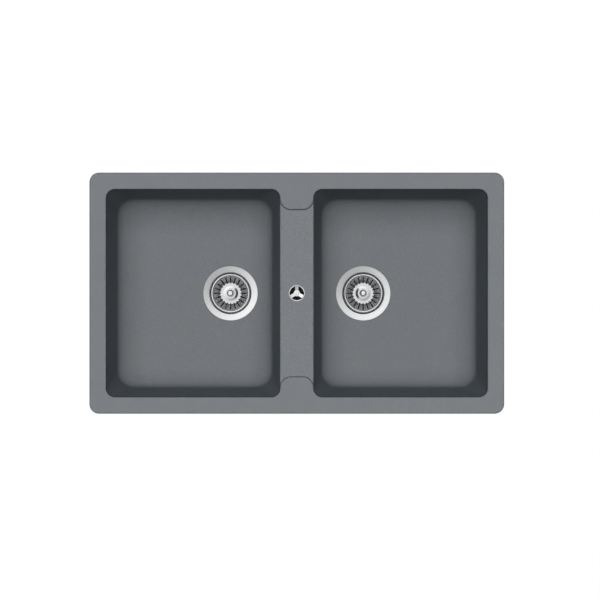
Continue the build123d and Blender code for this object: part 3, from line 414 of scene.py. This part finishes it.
hose_mesh.set_sharp_from_angle(angle=math.radians(50))
hose_mesh.materials.append(plastic)
hose = bpy.data.objects.new("corrugated_hose", hose_mesh)
bpy.context.scene.collection.objects.link(hose)
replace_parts(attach(hose, "sink"), "overflow_hose")


# ---- Overflow chamber ------------------------------------------------------------------------
# The cup under the overflow is black polypropylene, so that nothing pale shows through the
# rosette; it is moulded in one with its screw boss and hose spigot.
BLACK_PLASTIC = (0.05, 0.051, 0.053, 1.0)
BLACK_PLASTIC_SPARK = (0.09, 0.091, 0.094, 1.0)
dark_plastic, dark_surface, place = new_finish("black polypropylene", Roughness=0.42)
spark = grain(place, 2200.0, 2.0)
feed(dark_surface, "Base Color", blend_colours(spark, BLACK_PLASTIC, BLACK_PLASTIC_SPARK))
feed(dark_surface, "Roughness", 0.34 + spark * 0.14)
emboss(dark_surface, spark, 0.00003)
wear(dark_plastic, "overflow_chamber")


# ---- Clamps and clips ------------------------------------------------------------------------
# Bent and stamped mild steel, zinc plated and passivated: the brackets screwed under the rim,
# the claws, the screws that lift them, the two hose clips and the nuts under the baskets.
ZINC = (0.50, 0.51, 0.53, 1.0)
ZINC_PALE = (0.63, 0.63, 0.62, 1.0)
CLAMPS = 8
CLAMP_SCREW_R = 0.003
CLAMP_THREAD_LOW = -0.079
CLAMP_THREAD_HIGH = -0.0542
CLAMP_PITCH = 0.001
CLAMP_THREAD_DEPTH = 0.00055
zinc, zinc_surface, place = new_finish("zinc plate", Metallic=1.0, Roughness=0.38)
bloom = grain(place, 160.0, 4.0, 0.6)
feed(zinc_surface, "Base Color", blend_colours(bloom, ZINC, ZINC_PALE))
feed(zinc_surface, "Roughness", 0.28 + bloom * 0.22)
emboss(zinc_surface, bloom, 0.00005)
wear(zinc, "clamp_brackets", "bracket_screws", "hose_clip_top", "hose_clip_bottom")
wear(zinc, "left_basket_nut", "right_basket_nut")
for number in range(1, CLAMPS + 1):
    wear(zinc, f"clamp_claw_{number}")
    low_corner, high_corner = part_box(f"clamp_screw_{number}")
    axis = tuple((low_corner[i] + high_corner[i]) / 2 for i in (0, 1))
    with_thread(
        f"clamp_screw_{number}", f"screw_{number}", zinc, axis, CLAMP_SCREW_R,
        CLAMP_THREAD_LOW, CLAMP_THREAD_HIGH, CLAMP_PITCH, CLAMP_THREAD_DEPTH,
    )


# ---- Stage -----------------------------------------------------------------------------------
# A plain white floor under the pipes, which the camera sees as pure white, one broad soft lamp
# overhead, tilted a little to the back and the left, and a long lens straight above, as a
# catalogue picture is taken.
FLOOR_Z = cad_box[0][2]
FLOOR_REACH = 30
FLOOR_ALBEDO = 0.78
LAMP_STRENGTH = 3.08
LAMP_WIDTH = math.radians(46)
LAMP_TILT = (math.radians(-4.8), math.radians(-0.8), 0)
LENS = 283.7
CAMERA_PLACE = (0.0066, -0.0142, 9.8085)
floor_mesh = bpy.data.meshes.new("floor")
floor_corners = [
    (x * FLOOR_REACH, y * FLOOR_REACH, FLOOR_Z) for x, y in ((-1, -1), (1, -1), (1, 1), (-1, 1))
]
floor_mesh.from_pydata(floor_corners, [], [(0, 1, 2, 3)])
floor = bpy.data.objects.new("floor", floor_mesh)
bpy.context.scene.collection.objects.link(floor)
white, white_surface, place = new_finish("white floor", Roughness=1.0)
seen = place.add("LightPath", {}, {}, "Is Camera Ray") + place.add("LightPath", {}, {}, "Is Glossy Ray")
seen = seen.maths("MINIMUM", seen + place.add("LightPath", {}, {}, "Is Transmission Ray"), 1.0)
white_surface.inputs["Emission Color"].default_value = (1.0, 1.0, 1.0, 1.0)
feed(white_surface, "Emission Strength", seen)
feed(white_surface, "Base Color", FLOOR_ALBEDO - seen * FLOOR_ALBEDO)
floor_mesh.materials.append(white)

world = bpy.data.worlds.new("studio")
world.use_nodes = True
bpy.context.scene.world = world
sky = world.node_tree.nodes["Background"]
sky_ray = Shade(world.node_tree)
through = sky_ray.add("LightPath", {}, {}, "Is Camera Ray")
through = through + sky_ray.add("LightPath", {}, {}, "Is Transmission Ray")
mirrored = sky_ray.add("LightPath", {}, {}, "Is Glossy Ray")
towards = sky_ray.add("TexCoord", {}, {}, "Generated")
upper_left = towards.add("VectorMath", {"operation": "DOT_PRODUCT"}, {0: towards, 1: (-0.5, 0.65, 0.0)}, 1)
strength = 0.01 + through.maths("MINIMUM", through, 1.0) * 0.97 + mirrored * (1.05 + upper_left)
sky.inputs["Color"].default_value = (1.0, 1.0, 1.0, 1.0)
world.node_tree.links.new(strength.socket, sky.inputs["Strength"])

lamp = bpy.data.lights.new("softbox", "SUN")
lamp.energy = LAMP_STRENGTH
lamp.angle = LAMP_WIDTH
softbox = bpy.data.objects.new("softbox", lamp)
softbox.rotation_euler = LAMP_TILT
softbox.visible_glossy = False
bpy.context.scene.collection.objects.link(softbox)

lens = bpy.data.cameras.new("camera")
lens.lens = LENS
camera = bpy.data.objects.new("camera", lens)
camera.location = CAMERA_PLACE
bpy.context.scene.collection.objects.link(camera)
bpy.context.scene.camera = camera
bpy.context.scene.view_settings.view_transform = "Standard"
